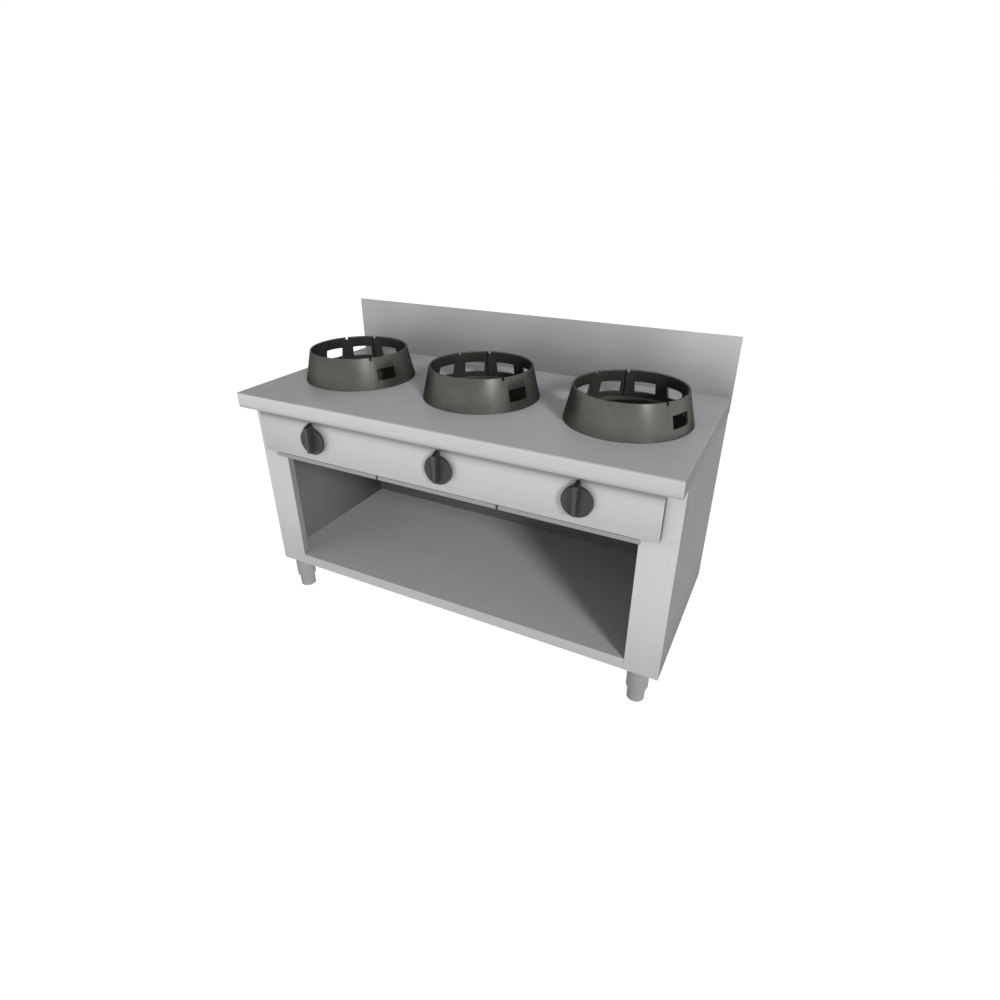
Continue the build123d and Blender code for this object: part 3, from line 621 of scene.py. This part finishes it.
def wok_ring(name, mat):
    k = RING_K
    o = lathe(name, [(195.0, 0.0, 0.8), (170.0, 104.0, 2.4), (163.2, 104.0, 2.4), (195.0 - 6.5 - 7 * k, 7.0, 2.0),
                     (181.5, 5.5, 1.5), (181.5, 0.0, 0.8)], seg=240, rounding=5)
    tools = []
    for a, deg in ((-22.5, 22.0), (30.0, 15.0), (54.0, 22.0), (90.0, 22.0), (126.0, 22.0), (161.5, 22.0)):
        z = 46.5
        rm = 195.0 - z * k - 3.25
        w, h = rm * math.sin(math.radians(deg / 2)), 19.5
        c = prism("c", [(-w, -h), (w, -h), (w, h), (-w, h)], -22, 22, 3.0, 5)
        c.data.transform(Matrix.Rotation(math.radians(90), 4, "Z"))
        c.data.transform(Matrix.Rotation(-SLOPE, 4, "Y"))
        c.data.transform(Matrix.Translation((rm * MM, 0, z * MM)))
        c.data.transform(Matrix.Rotation(math.radians(a), 4, "Z"))
        tools.append(c)
    for a in (144.5, 108.5, -38.5):
        c = prism("c", [(-4.5, -10), (4.5, -10), (4.5, 8), (-4.5, 8)], -20, 20, 1.6, 4)
        c.data.transform(Matrix.Rotation(math.radians(90), 4, "Z"))
        c.data.transform(Matrix.Translation((168.0 * MM, 0, 104 * MM)))
        c.data.transform(Matrix.Rotation(math.radians(a), 4, "Z"))
        tools.append(c)
    g = block("g", -1.5, 1.5, -2.25, 2.25, -46, 46)
    g.data.transform(Matrix.Rotation(-SLOPE, 4, "Y"))
    g.data.transform(Matrix.Translation(((195.0 - 6.5 - k * 56) * MM, 0, 56 * MM)))
    g.data.transform(Matrix.Rotation(math.radians(SEAM), 4, "Z"))
    tools.append(g)
    cut(o, join(tools, "tools"))
    tidy(o, 2e-6, 0.05)
    bevel(o, 0.0009, 3, 40.0)
    shade(o, 38)
    paint(o, mat)

    def in_seam(p):
        r = math.hypot(p.center.x, p.center.y) - (195.0 - 6.5) * MM + k * p.center.z
        a = math.degrees(math.atan2(p.center.y, p.center.x))
        return r > 0.0004 and r < 0.0022 and abs(a - SEAM) < 1.1 and 0.008 < p.center.z < 0.1035
    by_face(o, M_SEAM, in_seam)
    return o


base_ring = None
for n in NAMES:
    if base_ring is None:
        ring = base_ring = wok_ring("wok_ring_cast_" + n, M_RING[n])
    else:
        ring = twin(base_ring, "wok_ring_cast_" + n)
        ring.data.materials[0] = M_RING[n]
    ring.location = (BURNER_X[n] * MM, BURNER_Y * MM, H * MM)
    use(ring, "wok_ring_" + n)

# ================================================================ burner wells
PILOT = (92.0 * math.cos(math.radians(-50)), 92.0 * math.sin(math.radians(-50)))
THERMO = (92.0 * math.cos(math.radians(-30)), 92.0 * math.sin(math.radians(-30)))
for n in NAMES:
    o = lathe("burner_well_bowl_" + n, [(178, H, 0.3), (163, H, 3.5), (108, 785, 5), (79, 785, 2.0), (79, 800, 0.3),
                                        (80.2, 800, 0.3), (80.2, 786.2, 1.0), (107.5, 786.2, 4), (162.5, 826.2, 4.5), (178, 826.2, 0.5)], 160, 6)
    holes = [put(lathe("h", [(0, 780), (8, 780), (8, 792), (0, 792)], 32), *PILOT),
             put(lathe("h", [(0, 780), (5, 780), (5, 792), (0, 792)], 24), *THERMO)]
    cut(o, join(holes, "holes"))
    tidy(o, 2e-6, 0.05)
    shade(o, 32)
    paint(o, S_WELL)
    o.location = (BURNER_X[n] * MM, BURNER_Y * MM, 0)
    use(o, "burner_well_" + n)

# ================================================================ burners
for n in NAMES:
    skin("burner_cap_" + n, M_CAP, 0.0005, 2, 30.0)
skin("burner_bodies", M_BODY, 0.0008, 2, 35.0)
skin("venturis", M_BODY, 0.0006, 2, 35.0)
for n in NAMES:
    skin("air_shutter_" + n, M_ZINC, 0.0003, 1, 35.0)

# ================================================================ knobs
def knob(name):
    """Round skirt with a dished face and a tapered grip bar that ends in a sloping pointer."""
    kb = -316.5
    skirt = lathe(name + "_skirt", [(0, kb - 3.0), (43, kb - 3.0, 1.0), (43.6, kb, 0.4), (47, kb, 0.5), (47, kb - 8.5, 1.2),
                                    (45.2, kb - 12, 1.8), (40.5, kb - 12.0, 1.2), (39.6, kb - 11.2, 0.8), (0, kb - 10.6)], 128, 4, up="Y")
    y0, y1 = kb - 9.0, kb - 31.0
    low = [(-5.9, -36.0), (5.9, -36.0), (8.6, 51), (4.6, 64.0), (-4.6, 64.0), (-8.6, 51)]
    top = [(-5.0, -35.0), (5.0, -35.0), (7.5, 51), (6.4, 54.5), (-6.4, 54.5), (-7.5, 51)]
    verts, n = [], len(low)
    for y, ring_pts in ((kb, low), (y0, low), (y1, top)):
        verts += [(x * MM, y * MM, z * MM) for x, z in ring_pts]
    faces = [tuple(range(n)), tuple(range(3 * n - 1, 2 * n - 1, -1))]
    for k in (0, 1):
        faces += [(k * n + i, (k + 1) * n + i, (k + 1) * n + (i + 1) % n, k * n + (i + 1) % n) for i in range(n)]
    bar = new(name + "_bar", verts, faces)
    tidy(bar, 1e-7, 0.01)
    bevel(bar, 0.0013, 4, 12.0)
    shade(skirt, 35)
    o = join([skirt, bar], name)
    shade(o, 35)
    return o


base_knob = None
for n in NAMES:
    o = knob("knob_grip_" + n) if base_knob is None else twin(base_knob, "knob_grip_" + n)
    base_knob = base_knob or o
    paint(o, M_KNOB)
    # Painted light: the grip bar's front face takes the lighter plastic.
    by_face(o, M_GRIP_LIT, lambda p: p.center.y < -0.3462 and p.normal.y < -0.9 and abs(p.center.x) < 0.009)
    # Painted shade: the pointer's sloping top faces take the darker plastic.
    by_face(o, M_TIP_SHADED, lambda p: p.center.z > 0.0545 and p.normal.z > 0.2 and p.center.y < -0.3250)
    o.location = (KNOB_X[n] * MM, 0, KNOB_Z * MM)
    use(o, "knob_" + n)

# ================================================================ legs and feet
LEGS = {"front_left": (-682.5, -245.0), "front_right": (682.5, -245.0), "rear_left": (-682.5, 315.0), "rear_right": (682.5, 315.0)}
parts = []
for n, (x, y) in LEGS.items():
    o = lathe("s", [(34.5, 125, 0.2), (34.5, 51, 2.2), (8.06, 51, 0.6), (8.06, 61, 0.6), (31.5, 61, 2.0), (31.5, 125, 0.2)], 96, 5)
    parts.append(put(o, x, y, 0))
o = join(parts, "leg_sleeve_tubes")
shade(o, 35)
paint(o, S_LEG)
use(o, "leg_sleeves")
for n, (x, y) in LEGS.items():
    ft = 50.6
    prof = [(0, 0), (25.6, 0, 1.0), (28, 3.2, 1.6), (28, 34, 0.5), (26.8, 35.2, 0.4), (26.8, 37.8, 0.4), (28, 39, 0.5),
            (28, ft - 1.5, 0.6), (26.5, ft, 0.6), (8.0, ft, 0.5)]
    z = ft + 1.5
    while z < 108:
        prof += [(7.0, z, 0), (8.0, z + 1.0, 0)]
        z += 2.0
    prof += [(8.0, 110.5, 0.3), (6.6, 112.3, 0.3), (0, 112.3)]
    o = lathe("foot_barrel_" + n, prof, 96, 4)
    shade(o, 35)
    paint(o, S_LEG)
    by_face(o, M_PAD, lambda p: p.center.z < 0.0034)
    o.location = (x * MM, y * MM, 0)
    use(o, "foot_" + n)

# ================================================================ gas side, fasteners and sheet parts inside
for node, mat, w in (("gas_manifold", M_PIPE, 0.0), ("gas_inlet_fitting", M_BRASS, 0.0006), ("gas_taps", M_BRASS, 0.0005),
                     ("injectors", M_BRASS, 0.0004), ("gas_feed_tubes", M_COPPER, 0.0), ("pilot_burners", M_BRASS, 0.0003),
                     ("thermocouples", M_CHROME, 0.0003), ("manifold_brackets", M_ZINC, 0.0005), ("injector_brackets", M_ZINC, 0.0004),
                     ("knob_bezels", M_CHROME, 0.0004), ("burner_bearers", M_ZINC, 0.0006), ("tray_runners", M_ZINC, 0.0003),
                     ("worktop_stiffeners", M_ZINC, 0.0003), ("shelf_stiffeners", M_ZINC, 0.0003),
                     ("tray_front_spacers", M_RUBBER, 0.0005), ("leg_bolts", M_CHROME, 0.0006)):
    skin(node, mat, w, 2, 30.0)
for n in NAMES:
    skin("tap_plug_" + n, M_BRASS, 0.0003, 1)
    skin("tap_stem_" + n, M_CHROME, 0.0004, 2)

# pan-head screws with a cross recess on the back panel
heads = []
for x in (-705.0, -235.0, 235.0, 705.0):
    for z in (150.0, 300.0, 560.0):
        h = lathe("h", [(0, 321.5), (4.5, 321.5, 0.1), (4.4, 322.8, 0.8), (2.4, 323.9, 1.6), (0, 323.9)], 32, 4, up="Y")
        c = join([block("a", -2.2, 2.2, 322.9, 325, -0.45, 0.45), block("b", -0.45, 0.45, 322.9, 325, -2.2, 2.2)], "c")
        cut(h, c)
        heads.append(put(h, x, 0, z))
o = join(heads, "rear_panel_screw_heads")
shade(o, 35)
paint(o, M_CHROME)
use(o, "rear_panel_screws")

left = sorted(set(frame["nodes"]) - DONE)
print("CAD nodes shown as they are:", left)

# ================================================================ stage, light and camera
fm = bpy.data.materials.new("studio_floor")
fm.use_nodes = True
nt = fm.node_tree
nt.nodes.clear()
out = nt.nodes.new("ShaderNodeOutputMaterial")
dif = nt.nodes.new("ShaderNodeBsdfDiffuse")
dif.inputs[0].default_value = (0.06, 0.06, 0.06, 1)
emi = nt.nodes.new("ShaderNodeEmission")
emi.inputs[0].default_value = (1, 1, 1, 1)
emi.inputs[1].default_value = 0.99
add = nt.nodes.new("ShaderNodeAddShader")
nt.links.new(dif.outputs[0], add.inputs[0])
nt.links.new(emi.outputs[0], add.inputs[1])
nt.links.new(add.outputs[0], out.inputs[0])
bm = bmesh.new()
bmesh.ops.create_circle(bm, cap_ends=True, radius=60.0, segments=64)
me = bpy.data.meshes.new("floor")
bm.to_mesh(me)
bm.free()
floor = link(bpy.data.objects.new("floor", me))
floor.location = (0, 0, -0.0004)
me.materials.append(fm)

# a pale backdrop that is only seen and lights nothing
wm = bpy.data.materials.new("studio_backdrop")
wm.use_nodes = True
nt = wm.node_tree
nt.nodes.clear()
out = nt.nodes.new("ShaderNodeOutputMaterial")
emi = nt.nodes.new("ShaderNodeEmission")
emi.inputs[0].default_value = (1, 1, 1, 1)
emi.inputs[1].default_value = 1.0
nt.links.new(emi.outputs[0], out.inputs[0])
bm = bmesh.new()
bmesh.ops.create_icosphere(bm, subdivisions=4, radius=58.0)
me = bpy.data.meshes.new("backdrop")
bm.to_mesh(me)
bm.free()
backdrop = link(bpy.data.objects.new("backdrop", me))
me.materials.append(wm)
for ray in ("visible_diffuse", "visible_glossy", "visible_transmission", "visible_volume_scatter", "visible_shadow"):
    setattr(backdrop, ray, False)

world = bpy.data.worlds.new("studio")
bpy.context.scene.world = world
world.use_nodes = True
wn = world.node_tree
wn.nodes.clear()
wo = wn.nodes.new("ShaderNodeOutputWorld")
bg = wn.nodes.new("ShaderNodeBackground")
tc = wn.nodes.new("ShaderNodeTexCoord")
sp = wn.nodes.new("ShaderNodeSeparateXYZ")
rp = wn.nodes.new("ShaderNodeValToRGB")
wn.links.new(tc.outputs["Generated"], sp.inputs[0])
wn.links.new(sp.outputs[2], rp.inputs[0])
wn.links.new(rp.outputs[0], bg.inputs[0])
wn.links.new(bg.outputs[0], wo.inputs[0])
e = rp.color_ramp.elements
e[0].position, e[0].color = 0.0, (1.0, 1.0, 1.0, 1)
e[1].position, e[1].color = 1.0, (0.60, 0.60, 0.61, 1)
for p, c in ((0.205, 1.0), (0.27, 0.50), (0.60, 0.48)):
    el = e.new(p)
    el.color = (c, c, c * 1.01, 1)
bg.inputs[1].default_value = 1.0


def area(name, loc, target, size, power, size_y=None):
    d = bpy.data.lights.new(name, "AREA")
    d.shape = "RECTANGLE"
    d.size = size
    d.size_y = size_y or size
    d.energy = power
    o = link(bpy.data.objects.new(name, d))
    o.location = loc
    o.rotation_euler = (Vector(target) - Vector(loc)).to_track_quat("-Z", "Y").to_euler()
    return o


def sun(name, energy, az, el, spread):
    d = bpy.data.lights.new(name, "SUN")
    d.energy = energy
    d.angle = math.radians(spread)
    o = link(bpy.data.objects.new(name, d))
    o.location = (3.9, -3.25, 3.0)
    az, el = math.radians(az), math.radians(el)
    o.rotation_euler = Vector((-math.cos(az) * math.cos(el), -math.sin(az) * math.cos(el), -math.sin(el))).to_track_quat("-Z", "Y").to_euler()
    return o


# one soft light direction, a strong part for matt shading and a weak part for highlights, and a broad fill
sun("key", 4.0, -40.0, 21.5, 12.0).visible_glossy = False
sun("key_gloss", 0.60, -40.0, 21.5, 12.0).visible_diffuse = False
sun("fill", 0.5, -115.0, 25.0, 50.0).visible_glossy = False

cam = bpy.data.cameras.new("camera")
cam.sensor_width = 36.0
cam.lens = 36.0 * 0.60910
cam.clip_start, cam.clip_end = 0.05, 200.0
co = link(bpy.data.objects.new("camera", cam))
co.location = (0.94741, -1.71326, 1.46938)
co.rotation_euler = (math.radians(90.0 - 27.994), 0.0, math.radians(27.076))
bpy.context.scene.camera = co
bpy.context.scene.view_settings.view_transform = "Standard"
